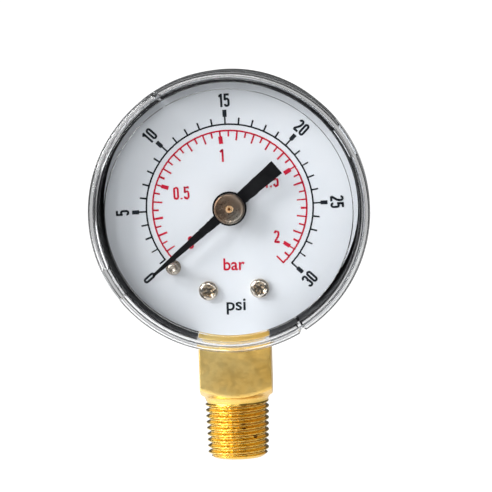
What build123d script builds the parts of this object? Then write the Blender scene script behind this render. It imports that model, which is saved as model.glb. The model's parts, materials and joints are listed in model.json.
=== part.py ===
from build123d import *
import os
from math import cos, sin, radians, hypot, pi

os.makedirs("parts", exist_ok=True)

# Frame: +X right, dial faces -Y, +Z up. The origin is on the inlet thread's axis at its gauge plane.
# Driving sizes, mm.
pointer_z = 34.8           # pointer axis above the gauge plane
case_drop = 0.25           # the case axis sits this much below the pointer axis
lens_radius = 21.0
lens_skirt = 0.8
lens_thick = 1.5
lens_rim = 0.15            # the ring outside the window stands this far in front of it
lens_shoulder = 1.1
lens_fillet = 0.9
case_wall = 0.5
case_back = 9.0
shank_af = 10.9
stem_small_end = -4.0
thread_pitch = 0.907
thread_major_radius = 4.71
thread_depth = 0.58
inlet_radius = 1.3
dial_gap = 0.25            # dial edge to the inside of the case
dial_thick = 0.5
plate_thick = 1.0
plate_gap = 4.45           # between the two movement plates
plate_width = 11.2
pinion_teeth = 10
sector_teeth = 120         # on a full circle
gear_module = 0.16
tail_length = 6.5
link_length = 5.5
tube_radius = 15.5
tube_radial = 1.8
tube_axial = 6.0
tube_wall = 0.3
tube_start = 250.0
tube_end = -27.0
rest_angle = 219.8         # pointer at rest, from +X, seen from the front
tip_reach = 15.3
stop_reach = 12.4
gap = 0.05                 # between nodes of one body

# Sizes that follow.
case_z = pointer_z - case_drop
case_outer = lens_radius - lens_skirt - 0.1
case_inner = case_outer - case_wall
dial_radius = case_inner - dial_gap
half_shank = shank_af / 2
plate_back_y = -half_shank
plate_front_y = plate_back_y - plate_thick
dial_front_y = plate_front_y - dial_thick
case_front_y = dial_front_y - 4.35
window_back_y = case_front_y - lens_fillet
window_front_y = window_back_y - lens_thick
rim_front_y = window_front_y - lens_rim
block_top = pointer_z - tube_radius + 1.6
shank_bottom = 5.85
rear_plate_front_y = plate_back_y + plate_gap
rear_plate_back_y = rear_plate_front_y + plate_thick
pinion_pitch = pinion_teeth * gear_module / 2
sector_pitch = sector_teeth * gear_module / 2
sector_z = pointer_z - pinion_pitch - sector_pitch
tail_angle = -18.0
link_angle = 60.0
tail_x = tail_length * cos(radians(tail_angle))
tail_z = sector_z + tail_length * sin(radians(tail_angle))
tip_x = tail_x + link_length * cos(radians(link_angle))
tip_z = tail_z + link_length * sin(radians(link_angle))
case_axis = Axis((0, 0, case_z), (0, 1, 0))
tube_axis = Axis((0, 0, pointer_z), (0, 1, 0))


def face_plane(y, x=0.0, z=0.0):
    """Plane seen from the front, its normal towards -Y."""
    return Plane(origin=(x, y, z), x_dir=(1, 0, 0), z_dir=(0, -1, 0))


def radial_plane(angle):
    """Section plane of the tube at an angle: local x is Y, local y is outwards."""
    a = radians(angle)
    return Plane(origin=(0, 0, pointer_z), x_dir=(0, 1, 0), z_dir=(sin(a), 0, -cos(a)))


def polar(radius, angle, x=0.0, z=0.0):
    a = radians(angle)
    return (x + radius * cos(a), z + radius * sin(a))


def rod(back_y, front_y, radius, x=0.0, z=0.0, mode=Mode.ADD):
    """Round bar along Y inside the open part, from back_y forward to front_y."""
    with BuildSketch(face_plane(back_y, x, z)) as disc:
        Circle(radius)
    extrude(disc.sketch, amount=back_y - front_y, mode=mode)


def tooth_points(pitch_radius, count, first, number, z, addendum=0.11, dedendum=0.2):
    """Outline points of straight-sided teeth, from the first tooth's angle counter-clockwise."""
    step = 360 / count
    points = []
    for k in range(number):
        mid = first + k * step
        for share, radius in (
            (-0.33, pitch_radius - dedendum),
            (-0.21, pitch_radius),
            (-0.08, pitch_radius + addendum),
            (0.08, pitch_radius + addendum),
            (0.21, pitch_radius),
            (0.33, pitch_radius - dedendum),
        ):
            points.append(polar(radius, mid + share * step, 0, z))
    return points


# Case: a pressed cup, with a bead for the lens and a recess for its two screws.
recess_z = block_top - 2.6
screw_x = 2.4
slot_rise = 1.2            # the slot for the socket is cut this far above the inside of the wall
slit_angle = 120           # two slits in the case's front edge
slit_width = 0.5
with BuildPart() as case:
    with BuildSketch(Plane.YZ):
        with BuildLine():
            top = case_z + case_outer
            Polyline(
                (case_front_y, case_z + case_inner),
                (case_front_y, top),
                (case_front_y + 1.9, top),
                (case_front_y + 2.2, top + 0.2),
                (case_front_y + 2.7, top + 0.2),
                (case_front_y + 3.0, top),
                (case_back - 1.2, top),
            )
            RadiusArc((case_back - 1.2, top), (case_back, top - 1.2), 1.2)
            Polyline(
                (case_back, top - 1.2),
                (case_back, case_z),
                (case_back - case_wall, case_z),
                (case_back - case_wall, top - 1.2),
            )
            RadiusArc(
                (case_back - case_wall, top - 1.2), (case_back - 1.2, top - case_wall), -0.7
            )
            Line((case_back - 1.2, top - case_wall), (case_front_y, case_z + case_inner))
        make_face()
    revolve(axis=case_axis)
    with BuildSketch(face_plane(case_back - case_wall + 0.1, 0, recess_z)):
        SlotOverall(4 * screw_x + 0.2, 4.6)
    extrude(amount=case_back - case_wall + 0.1 - half_shank)
    with BuildSketch(face_plane(case_back, 0, recess_z)):
        SlotOverall(4 * screw_x - 0.8, 3.6)
    extrude(amount=case_back - half_shank - case_wall, mode=Mode.SUBTRACT)
    with BuildSketch(face_plane(half_shank + case_wall, 0, recess_z)):
        with Locations((-screw_x, 0), (screw_x, 0)):
            Circle(0.85)
    extrude(amount=case_wall, mode=Mode.SUBTRACT)
    with BuildSketch(Plane.XY.offset(case_z - case_outer - 1)):
        with Locations((0, (half_shank + gap + case_front_y - 1) / 2)):
            Rectangle(shank_af + 2 * gap, half_shank + gap - case_front_y + 1)
    extrude(amount=case_outer + 1 - case_inner + slot_rise, mode=Mode.SUBTRACT)
    with BuildSketch(face_plane(dial_front_y, 0, case_z)):
        with PolarLocations((case_inner + case_outer) / 2, 2, start_angle=slit_angle):
            Rectangle(1.6, slit_width)
    extrude(amount=dial_front_y - case_front_y + 1, mode=Mode.SUBTRACT)
case.part.label = "case"
export_step(case.part, "parts/case.step")

# Lens: clear cap over the case, window and rim in one piece, clipped behind the bead.
with BuildPart() as lens:
    with BuildSketch(Plane.YZ):
        with BuildLine():
            skirt = case_z + lens_radius - lens_skirt
            rim = case_z + lens_radius
            Polyline(
                (window_back_y, skirt - lens_fillet),
                (window_back_y, case_z),
                (window_front_y, case_z),
                (window_front_y, rim - 2.6),
                (rim_front_y, rim - 2.45),
                (rim_front_y, rim - lens_shoulder),
            )
            RadiusArc(
                (rim_front_y, rim - lens_shoulder), (rim_front_y + lens_shoulder, rim), lens_shoulder
            )
            Polyline(
                (rim_front_y + lens_shoulder, rim),
                (case_front_y + 3.9, rim),
                (case_front_y + 3.9, skirt + 0.1),
                (case_front_y + 3.2, skirt),
                (case_front_y + 2.8, skirt + 0.22),
                (case_front_y + 2.1, skirt + 0.22),
                (case_front_y + 1.8, skirt),
                (case_front_y, skirt),
            )
            RadiusArc((case_front_y, skirt), (window_back_y, skirt - lens_fillet), -lens_fillet)
        make_face()
    revolve(axis=case_axis)
    with BuildSketch(face_plane(rim_front_y + 2.0, 0, case_z)):
        with PolarLocations(lens_radius, 2, start_angle=30):
            Rectangle(1.0, 5.1)
        with PolarLocations(lens_radius, 2, start_angle=120):
            Rectangle(1.6, 0.8)
    extrude(amount=2.5, mode=Mode.SUBTRACT)
lens.part.label = "lens"
export_step(lens.part, "parts/lens.step")

# Socket: threaded stem, square shank and the block that carries case, tube and movement.
mount_z = block_top - 2.6
channel_z = block_top - 1.2
channel_y = 0.9
with BuildPart() as socket:
    with BuildSketch(Plane.XZ):
        with BuildLine():
            points = [(inlet_radius, stem_small_end)]
            points.append((thread_major_radius - 0.95, stem_small_end))
            z = stem_small_end + 1.25
            while z < shank_bottom - 1.2:
                crest = thread_major_radius + z / 32
                points.append((crest - thread_depth, z - 0.38))
                points.append((crest, z - 0.09))
                points.append((crest, z + 0.09))
                points.append((crest - thread_depth, z + 0.38))
                z = z + thread_pitch
            neck = thread_major_radius + 0.06
            points.append((neck, z - 0.30))
            points.append((neck, shank_bottom))
            points.append((half_shank - 0.1, shank_bottom))
            points.append((half_shank * 1.42, shank_bottom + 0.85))
            points.append((half_shank * 1.42, shank_bottom + 3))
            points.append((inlet_radius, shank_bottom + 3))
            points.append((inlet_radius, stem_small_end))
            Polyline(*points)
        make_face()
    revolve(axis=Axis.Z)
    with BuildSketch(Plane.XY.offset(stem_small_end)):
        Rectangle(shank_af, shank_af)
    extrude(amount=shank_bottom + 3 - stem_small_end, mode=Mode.INTERSECT)
    with BuildSketch(Plane.XY.offset(shank_bottom + 3)):
        Rectangle(shank_af, shank_af)
    extrude(amount=block_top - shank_bottom - 3)
    with BuildSketch(Plane.XY.offset(stem_small_end)):
        Circle(inlet_radius)
    extrude(amount=channel_z - stem_small_end, mode=Mode.SUBTRACT)
    with BuildSketch(Plane.YZ.offset(-3.9)):
        with Locations((channel_y, channel_z)):
            Circle(0.6)
    extrude(amount=3.9, mode=Mode.SUBTRACT)
    with BuildSketch(radial_plane(tube_start + 6)):
        with Locations((2.0, tube_radius)):
            SlotOverall(tube_axial + 2 * gap, tube_radial + 2 * gap)
    revolve(axis=tube_axis, revolution_arc=14, mode=Mode.SUBTRACT)
    for side in (-1, 1):
        rod(-half_shank + 3.0, -half_shank, 0.75, side * 3.0, mount_z, Mode.SUBTRACT)
        rod(half_shank, half_shank - 3.0, 0.75, side * screw_x, recess_z, Mode.SUBTRACT)
socket.part.label = "socket"
export_step(socket.part, "parts/socket.step")

# Dial and what is fixed on it.
dial_turn = 1.3            # the dial sits turned this much
dial_screw_spots = [polar(12.95, 270 + dial_turn + side * 17.3, 0, pointer_z) for side in (-1, 1)]
stop_x, stop_z = polar(stop_reach, rest_angle + 5.4, 0, pointer_z)
with BuildPart() as dial:
    with BuildSketch(face_plane(plate_front_y)):
        with Locations((0, case_z)):
            Circle(dial_radius)
        with Locations((0, pointer_z)):
            Circle(1.6, mode=Mode.SUBTRACT)
        with Locations(*dial_screw_spots):
            Circle(0.85, mode=Mode.SUBTRACT)
        with Locations((stop_x, stop_z)):
            Circle(0.42, mode=Mode.SUBTRACT)
    extrude(amount=dial_thick)
dial.part.label = "dial"
export_step(dial.part, "parts/dial.step")

with BuildPart() as dial_screws:
    for x, z in dial_screw_spots:
        rod(dial_front_y, dial_front_y - 0.9, 1.47, x, z)
    fillet(dial_screws.faces().sort_by(Axis.Y)[0:2].edges(), 0.45)
    with BuildSketch(face_plane(dial_front_y - 0.45)):
        with Locations(*dial_screw_spots):
            Rectangle(1.7, 0.34)
            Rectangle(0.34, 1.7)
    extrude(amount=1, mode=Mode.SUBTRACT)
    for x, z in dial_screw_spots:
        rod(plate_back_y + 0.6, dial_front_y, 0.75, x, z)
dial_screws.part.label = "dial_screws"
export_step(dial_screws.part, "parts/dial_screws.step")

with BuildPart() as stop_pin:
    rod(dial_front_y + dial_thick - 0.1, dial_front_y, 0.4, stop_x, stop_z)
    rod(dial_front_y, dial_front_y - 0.4, 1.15, stop_x, stop_z)
    rod(dial_front_y - 0.4, dial_front_y - 2.9, 0.8, stop_x, stop_z)
    chamfer(stop_pin.faces().sort_by(Axis.Y)[0].edges(), 0.2)
stop_pin.part.label = "stop_pin"
export_step(stop_pin.part, "parts/stop_pin.step")

# Pointer group, turning on the pinion arbor.
pointer_back_y = dial_front_y - 1.95
pointer_front_y = pointer_back_y - 0.3
hub_front_y = pointer_front_y - 0.8
with BuildPart() as pointer:
    with BuildSketch(face_plane(pointer_back_y, 0, pointer_z)):
        Circle(2.58)
        with BuildLine():
            Polyline(
                polar(hypot(tip_reach, 0.2), rest_angle - 0.75),
                polar(hypot(tip_reach, 0.2), rest_angle + 0.75),
                polar(2.5, rest_angle + 17.5),
                polar(2.5, rest_angle + 157),
                polar(9.52, rest_angle + 172.8),
                polar(9.52, rest_angle + 187.2),
                polar(2.5, rest_angle + 203),
                polar(2.5, rest_angle - 17.5),
                close=True,
            )
        make_face()
        Circle(1.1, mode=Mode.SUBTRACT)
    extrude(amount=0.3)
pointer.part.label = "pointer"
export_step(pointer.part, "parts/pointer.step")

with BuildPart() as pointer_hub:
    rod(pointer_front_y, hub_front_y, 2.3, 0, pointer_z)
    chamfer(pointer_hub.faces().sort_by(Axis.Y)[0].edges(), 0.4)
    rod(dial_front_y - 0.6, pointer_front_y, 1.05, 0, pointer_z)
    rod(dial_front_y - 0.6, hub_front_y, 0.57, 0, pointer_z, Mode.SUBTRACT)
pointer_hub.part.label = "pointer_hub"
export_step(pointer_hub.part, "parts/pointer_hub.step")

pinion_back_y = rear_plate_front_y - 1.2
pinion_front_y = pinion_back_y - 2.0
with BuildPart() as pinion_arbor:
    with BuildSketch(face_plane(pinion_back_y)):
        with BuildLine():
            Polyline(
                *tooth_points(pinion_pitch, pinion_teeth, -90, pinion_teeth, pointer_z),
                close=True,
            )
        make_face()
    extrude(amount=pinion_back_y - pinion_front_y)
    rod(rear_plate_front_y - 0.1, plate_back_y + 0.1, 0.5, 0, pointer_z)
    rod(rear_plate_back_y - 0.1, dial_front_y - 0.5, 0.4, 0, pointer_z)
    rod(dial_front_y - 0.5, hub_front_y, 0.55, 0, pointer_z)
    rod(hub_front_y + 0.25, hub_front_y, 0.3, 0, pointer_z, Mode.SUBTRACT)
pinion_arbor.part.label = "pinion_arbor"
export_step(pinion_arbor.part, "parts/pinion_arbor.step")

collet_back_y = plate_back_y + 1.05
with BuildPart() as hairspring_collet:
    rod(collet_back_y, collet_back_y - 0.7, 0.95, 0, pointer_z)
    rod(collet_back_y, collet_back_y - 0.7, 0.5, 0, pointer_z, Mode.SUBTRACT)
hairspring_collet.part.label = "hairspring_collet"
export_step(hairspring_collet.part, "parts/hairspring_collet.step")

spring_turns = 4.5
spring_start = 1.0
spring_end = 3.25
spring_thick = 0.08
spring_points = [
    (k / 12, spring_start + (spring_end - spring_start) * k / (12 * spring_turns))
    for k in range(int(12 * spring_turns) + 1)
]
with BuildPart() as hairspring:
    with BuildSketch(face_plane(collet_back_y - 0.2, 0, pointer_z)):
        with BuildLine():
            inner = Spline(*[polar(r, 360 * turn) for turn, r in spring_points])
            outer = Spline(*[polar(r + spring_thick, 360 * turn) for turn, r in spring_points])
            Line(inner @ 0, outer @ 0)
            Line(inner @ 1, outer @ 1)
        make_face()
    extrude(amount=0.3)
hairspring.part.label = "hairspring"
export_step(hairspring.part, "parts/hairspring.step")

stud_x = -spring_end - spring_thick - 0.4
with BuildPart() as hairspring_stud:
    rod(plate_back_y + 1.1, plate_back_y, 0.38, stud_x, pointer_z)
hairspring_stud.part.label = "hairspring_stud"
export_step(hairspring_stud.part, "parts/hairspring_stud.step")

# Movement plates, pillars and screws.
plate_top = pointer_z + 3.4
plate_foot = case_z - case_inner + 1.6
rear_foot = block_top + 0.4
pillar_x = 4.4
pillar_z = sector_z + 5.6
with BuildPart() as movement_front_plate:
    with BuildSketch(face_plane(plate_back_y, 0, (plate_top + plate_foot) / 2)):
        RectangleRounded(plate_width, plate_top - plate_foot, 1.0)
    extrude(amount=plate_thick)
    rod(plate_back_y, plate_front_y, 0.46, 0, pointer_z, Mode.SUBTRACT)
    rod(plate_back_y, plate_front_y, 0.46, 0, sector_z, Mode.SUBTRACT)
    for x, z in dial_screw_spots:
        rod(plate_back_y, plate_front_y, 0.8, x, z, Mode.SUBTRACT)
    for side in (-1, 1):
        rod(plate_back_y, plate_front_y, 0.75, side * 3.0, mount_z, Mode.SUBTRACT)
        rod(plate_front_y + 0.6, plate_front_y, 1.35, side * 3.0, mount_z, Mode.SUBTRACT)
movement_front_plate.part.label = "movement_front_plate"
export_step(movement_front_plate.part, "parts/movement_front_plate.step")

with BuildPart() as movement_back_plate:
    with BuildSketch(face_plane(rear_plate_back_y, 0, (plate_top + rear_foot) / 2)):
        RectangleRounded(plate_width, plate_top - rear_foot, 1.0)
    extrude(amount=plate_thick)
    rod(rear_plate_back_y, rear_plate_front_y, 0.46, 0, pointer_z, Mode.SUBTRACT)
    rod(rear_plate_back_y, rear_plate_front_y, 0.46, 0, sector_z, Mode.SUBTRACT)
    for side in (-1, 1):
        rod(rear_plate_back_y, rear_plate_front_y, 0.6, side * pillar_x, pillar_z, Mode.SUBTRACT)
movement_back_plate.part.label = "movement_back_plate"
export_step(movement_back_plate.part, "parts/movement_back_plate.step")

with BuildPart() as movement_pillars:
    for side in (-1, 1):
        rod(rear_plate_front_y, plate_back_y, 0.95, side * pillar_x, pillar_z)
        rod(rear_plate_front_y, rear_plate_front_y - 1.7, 0.55, side * pillar_x, pillar_z, Mode.SUBTRACT)
movement_pillars.part.label = "movement_pillars"
export_step(movement_pillars.part, "parts/movement_pillars.step")

with BuildPart() as movement_plate_screws:
    for side in (-1, 1):
        rod(rear_plate_back_y + 0.7, rear_plate_back_y, 1.1, side * pillar_x, pillar_z)
        rod(rear_plate_back_y, rear_plate_front_y - 1.5, 0.5, side * pillar_x, pillar_z)
    with BuildSketch(face_plane(rear_plate_back_y + 0.7)):
        with Locations((-pillar_x, pillar_z), (pillar_x, pillar_z)):
            Rectangle(2.4, 0.3)
    extrude(amount=0.35, mode=Mode.SUBTRACT)
movement_plate_screws.part.label = "movement_plate_screws"
export_step(movement_plate_screws.part, "parts/movement_plate_screws.step")

with BuildPart() as movement_mount_screws:
    for side in (-1, 1):
        rod(plate_front_y + 0.6, plate_front_y + gap, 1.3, side * 3.0, mount_z)
        rod(plate_back_y + 2.6, plate_front_y + 0.6, 0.7, side * 3.0, mount_z)
    with BuildSketch(face_plane(plate_front_y + 0.35)):
        with Locations((-3.0, mount_z), (3.0, mount_z)):
            Rectangle(2.8, 0.3)
    extrude(amount=0.5, mode=Mode.SUBTRACT)
movement_mount_screws.part.label = "movement_mount_screws"
export_step(movement_mount_screws.part, "parts/movement_mount_screws.step")

with BuildPart() as case_screws:
    for side in (-1, 1):
        rod(half_shank + case_wall + 1.0, half_shank + case_wall, 1.3, side * screw_x, recess_z)
        rod(half_shank + case_wall, half_shank - 2.5, 0.7, side * screw_x, recess_z)
    with BuildSketch(face_plane(half_shank + case_wall + 1.0)):
        with Locations((-screw_x, recess_z), (screw_x, recess_z)):
            Rectangle(1.7, 0.34)
            Rectangle(0.34, 1.7)
    extrude(amount=0.45, mode=Mode.SUBTRACT)
case_screws.part.label = "case_screws"
export_step(case_screws.part, "parts/case_screws.step")

# Sector, its arbor and the pin in its tail.
sector_back_y = rear_plate_front_y - 1.8
sector_front_y = sector_back_y - 0.8
tooth_step = 360 / sector_teeth
sector_first = 64.5
sector_count = 11
sector_last = sector_first + (sector_count - 1) * tooth_step
with BuildPart() as sector_gear:
    with BuildSketch(face_plane(sector_back_y)):
        with BuildLine():
            Polyline(
                *tooth_points(sector_pitch, sector_teeth, sector_first, sector_count, sector_z),
                polar(sector_pitch - 1.6, sector_last, 0, sector_z),
                polar(1.5, sector_last + 30, 0, sector_z),
                polar(1.5, sector_first - 30, 0, sector_z),
                polar(sector_pitch - 1.6, sector_first, 0, sector_z),
                close=True,
            )
        make_face()
        with Locations(polar(5.2, (sector_first + sector_last) / 2, 0, sector_z)):
            Circle(1.05, mode=Mode.SUBTRACT)
        with Locations((0, sector_z)):
            Circle(1.6)
        with BuildLine():
            Polyline(
                polar(1.1, tail_angle + 90, 0, sector_z),
                polar(1.1, tail_angle - 90, 0, sector_z),
                polar(0.9, tail_angle - 90, tail_x, tail_z),
                polar(0.9, tail_angle + 90, tail_x, tail_z),
                close=True,
            )
        make_face()
        with Locations((tail_x, tail_z)):
            Circle(0.9)
            Circle(0.45, mode=Mode.SUBTRACT)
        with Locations((0, sector_z)):
            Circle(0.6, mode=Mode.SUBTRACT)
    extrude(amount=0.8)
sector_gear.part.label = "sector_gear"
export_step(sector_gear.part, "parts/sector_gear.step")

with BuildPart() as sector_arbor:
    rod(rear_plate_front_y - 0.1, plate_back_y + 0.1, 0.6, 0, sector_z)
    rod(rear_plate_back_y - 0.1, plate_front_y + 0.1, 0.4, 0, sector_z)
sector_arbor.part.label = "sector_arbor"
export_step(sector_arbor.part, "parts/sector_arbor.step")

link_front_y = sector_back_y + 0.1
link_back_y = link_front_y + 0.5
with BuildPart() as link_tail_pin:
    rod(sector_front_y, sector_front_y - 0.35, 0.8, tail_x, tail_z)
    rod(link_back_y + 0.1, sector_front_y, 0.42, tail_x, tail_z)
    rod(link_back_y + 0.4, link_back_y + 0.1, 0.75, tail_x, tail_z)
link_tail_pin.part.label = "link_tail_pin"
export_step(link_tail_pin.part, "parts/link_tail_pin.step")

# Link, open pivot at the tube's end piece.
with BuildPart() as link:
    with BuildSketch(face_plane(link_back_y)):
        with Locations((tail_x, tail_z), (tip_x, tip_z)):
            Circle(0.95)
        with Locations(Location(((tail_x + tip_x) / 2, (tail_z + tip_z) / 2), link_angle)):
            Rectangle(link_length, 1.1)
        with Locations((tail_x, tail_z)):
            Circle(0.47, mode=Mode.SUBTRACT)
        with Locations((tip_x, tip_z)):
            Circle(0.55, mode=Mode.SUBTRACT)
    extrude(amount=0.5)
link.part.label = "link"
export_step(link.part, "parts/link.step")

# Bourdon tube, hollow flattened section, from the block round over the top.
with BuildPart() as bourdon_tube:
    with BuildSketch(radial_plane(tube_start)):
        with Locations((2.0, tube_radius)):
            SlotOverall(tube_axial, tube_radial)
            SlotOverall(tube_axial - 2 * tube_wall, tube_radial - 2 * tube_wall, mode=Mode.SUBTRACT)
    revolve(axis=tube_axis, revolution_arc=tube_start - tube_end)
bourdon_tube.part.label = "bourdon_tube"
export_step(bourdon_tube.part, "parts/bourdon_tube.step")

lug_back_y = link_back_y + 0.7
lug_front_y = link_back_y + 0.1
cap_x, cap_z = polar(tube_radius - 0.3, tube_end - 3, 0, pointer_z)
with BuildPart() as tube_tip:
    with BuildSketch(radial_plane(tube_end)):
        with Locations((2.0, tube_radius)):
            SlotOverall(tube_axial + 0.4, tube_radial + 0.4)
    revolve(axis=tube_axis, revolution_arc=6)
    with BuildSketch(radial_plane(tube_end)):
        with Locations((2.0, tube_radius)):
            SlotOverall(tube_axial - 2 * tube_wall - 2 * gap, tube_radial - 2 * tube_wall - 2 * gap)
    revolve(axis=tube_axis, revolution_arc=-5)
    with BuildSketch(face_plane(lug_back_y)):
        with BuildLine():
            Polyline((tip_x, tip_z + 0.9), (tip_x, tip_z - 0.9), (cap_x, cap_z - 0.5), (cap_x, cap_z + 0.7), close=True)
        make_face()
        with Locations((tip_x, tip_z)):
            Circle(0.9)
            Circle(0.4, mode=Mode.SUBTRACT)
    extrude(amount=lug_back_y - lug_front_y)
    with BuildSketch(face_plane(0.4)):
        with Locations((cap_x, cap_z)):
            Circle(0.6)
    extrude(amount=0.4 - lug_back_y)
tube_tip.part.label = "tube_tip"
export_step(tube_tip.part, "parts/tube_tip.step")

with BuildPart() as tip_pin:
    rod(lug_back_y + 0.25, lug_back_y, 0.7, tip_x, tip_z)
    rod(lug_back_y, link_front_y - 0.1, 0.4, tip_x, tip_z)
    rod(link_front_y - 0.1, link_front_y - 0.4, 0.75, tip_x, tip_z)
tip_pin.part.label = "tip_pin"
export_step(tip_pin.part, "parts/tip_pin.step")

print("sector", round(sector_z, 4), "tail", round(tail_x, 4), round(tail_z, 4), "tip", round(tip_x, 4), round(tip_z, 4))
print("y levels", plate_front_y, dial_front_y, case_front_y, window_front_y, rim_front_y, hub_front_y)
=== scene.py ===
import bpy
import json
import numpy as np
from math import radians
from mathutils import Matrix, Vector


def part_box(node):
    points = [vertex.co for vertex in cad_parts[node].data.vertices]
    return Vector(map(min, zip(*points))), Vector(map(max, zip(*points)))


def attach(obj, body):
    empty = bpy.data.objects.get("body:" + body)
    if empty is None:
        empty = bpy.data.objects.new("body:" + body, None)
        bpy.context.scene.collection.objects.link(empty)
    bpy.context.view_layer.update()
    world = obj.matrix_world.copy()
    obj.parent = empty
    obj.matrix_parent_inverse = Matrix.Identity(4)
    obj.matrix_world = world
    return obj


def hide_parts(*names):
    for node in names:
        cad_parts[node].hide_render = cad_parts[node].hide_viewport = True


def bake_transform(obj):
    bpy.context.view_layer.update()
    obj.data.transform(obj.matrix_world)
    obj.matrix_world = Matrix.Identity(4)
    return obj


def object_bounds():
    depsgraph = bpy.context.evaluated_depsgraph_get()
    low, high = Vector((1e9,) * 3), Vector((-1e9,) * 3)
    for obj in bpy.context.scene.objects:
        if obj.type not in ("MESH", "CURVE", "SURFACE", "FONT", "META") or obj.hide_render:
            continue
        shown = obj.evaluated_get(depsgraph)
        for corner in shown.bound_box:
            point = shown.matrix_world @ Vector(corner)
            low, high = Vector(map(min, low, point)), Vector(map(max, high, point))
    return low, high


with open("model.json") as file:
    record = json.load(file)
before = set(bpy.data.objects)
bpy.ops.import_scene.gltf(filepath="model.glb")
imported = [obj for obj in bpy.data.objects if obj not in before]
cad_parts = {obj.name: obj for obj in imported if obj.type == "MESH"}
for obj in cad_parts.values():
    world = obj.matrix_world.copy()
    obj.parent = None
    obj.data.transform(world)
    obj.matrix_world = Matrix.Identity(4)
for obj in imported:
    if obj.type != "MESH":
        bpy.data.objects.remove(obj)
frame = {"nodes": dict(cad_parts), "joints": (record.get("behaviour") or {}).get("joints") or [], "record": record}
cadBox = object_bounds()
scene = bpy.context.scene
mm = 0.001
print("frame loaded:", len(frame["nodes"]), "nodes")

# places taken from the frame
lensLow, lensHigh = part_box("lens")
hubLow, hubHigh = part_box("pointer_hub")
stopLow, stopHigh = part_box("stop_pin")
tubeLow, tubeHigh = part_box("bourdon_tube")
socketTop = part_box("socket")[1][2]
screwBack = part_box("dial_screws")[1][1]
pivotZ = next(float(j["pos_m"][2]) for j in frame["joints"] if j["name"] == "pointer_turn")
rimZ = (lensLow[2] + lensHigh[2]) / 2
rimRadius = (lensHigh[0] - lensLow[0]) / 2
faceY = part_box("dial")[0][1]  # front face of the dial

cameraSet = {"azimuth": 1.43, "elevation": 5.95, "roll": -1.78, "distance": 0.65,
             "aim": (0.00222, -0.006, 0.02875), "focal": 316.3, "sensor": 36, "clip": (0.01, 20)}


def cameraAxes(azimuth, elevation, roll):
    # back points from the aim to the camera; right and up are turned about it by roll
    a, e, r = radians(azimuth), radians(elevation), radians(roll)
    back = np.array([np.sin(a) * np.cos(e), -np.cos(a) * np.cos(e), np.sin(e)])
    right = np.cross([0, 0, 1], back)
    right /= np.linalg.norm(right)
    up = np.cross(back, right)
    return right * np.cos(r) + up * np.sin(r), up * np.cos(r) - right * np.sin(r), back


def addCamera(s):
    right, up, back = cameraAxes(s["azimuth"], s["elevation"], s["roll"])
    data = bpy.data.cameras.new("gaugeCamera")
    data.lens, data.sensor_width = s["focal"], s["sensor"]
    data.clip_start, data.clip_end = s["clip"]
    cam = bpy.data.objects.new("gaugeCamera", data)
    spin = Matrix((right, up, back)).transposed().to_4x4()
    cam.matrix_world = Matrix.Translation(Vector(s["aim"]) + Vector(back) * s["distance"]) @ spin
    scene.collection.objects.link(cam)
    scene.camera = cam


addCamera(cameraSet)
print("camera placed")


def addPiece(name, verts, faces, material, body, smoothAngle=35):
    # a closed mesh from arrays, turned right way out by the sign of its volume
    mesh = bpy.data.meshes.new(name)
    verts = np.asarray(verts, dtype=np.float64)
    mesh.from_pydata([tuple(v) for v in verts], [], [tuple(int(i) for i in f) for f in faces])
    mesh.validate()
    mesh.calc_loop_triangles()
    tri = np.empty(len(mesh.loop_triangles) * 3, np.int32)
    mesh.loop_triangles.foreach_get("vertices", tri)
    t = verts[tri.reshape(-1, 3)]
    if np.einsum("ij,ij->", t[:, 0], np.cross(t[:, 1], t[:, 2])) < 0:
        mesh.flip_normals()
    mesh.polygons.foreach_set("use_smooth", np.ones(len(mesh.polygons), bool))
    mesh.set_sharp_from_angle(angle=radians(smoothAngle))
    obj = bpy.data.objects.new(name, mesh)
    mesh.materials.append(material)
    scene.collection.objects.link(obj)
    if body:  # a piece given no body stays unattached
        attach(obj, body)
    return obj


def gridFaces(rows, cols, base=0):
    # quads of a grid whose columns wrap round
    r = np.arange(rows - 1)[:, None]
    c = np.arange(cols)[None, :]
    c2 = (c + 1) % cols
    quads = np.stack([r * cols + c, r * cols + c2, (r + 1) * cols + c2, (r + 1) * cols + c], -1)
    return quads.reshape(-1, 4) + base


def capped(grid, base=0):
    # a stack of rings closed by one fan at each end
    rows, cols = grid.shape[:2]
    verts = np.vstack([grid.reshape(-1, 3), grid[0].mean(0), grid[-1].mean(0)])
    c = np.arange(cols)
    c2 = (c + 1) % cols
    faces = [tuple(f) for f in gridFaces(rows, cols, base)]
    first, last, top = base + rows * cols, base + rows * cols + 1, base + (rows - 1) * cols
    faces += [(first, base + b, base + a) for a, b in zip(c, c2)]
    faces += [(last, top + a, top + b) for a, b in zip(c, c2)]
    return verts, faces


def turnedY(profile, cols, x=0.0, z=0.0, sink=None):
    # profile (radius, y) carried round an axis along Y through (x, z): x plus r cos a, y, z plus r sin a
    # sink gives how far a point is pushed back, from its radius, angle and y
    a = np.linspace(0, 2 * np.pi, cols, endpoint=False)
    p = np.asarray(profile, float)
    r, y = np.repeat(p[:, :1], cols, 1), np.repeat(p[:, 1:2], cols, 1)
    if sink is not None:
        y = y + sink(r, a[None, :], y)
    return np.stack([(x + r * np.cos(a)) * mm, y * mm, (z + r * np.sin(a)) * mm], -1)


def quarterTurn(radius, y, size, steps=6):
    # rounded front edge of a turned piece: the radius shrinks from its full size while y goes forward
    a = np.linspace(0, np.pi / 2, steps)
    return [(radius - size * (1 - np.cos(t)), y + size * (1 - np.sin(t))) for t in a]


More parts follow.
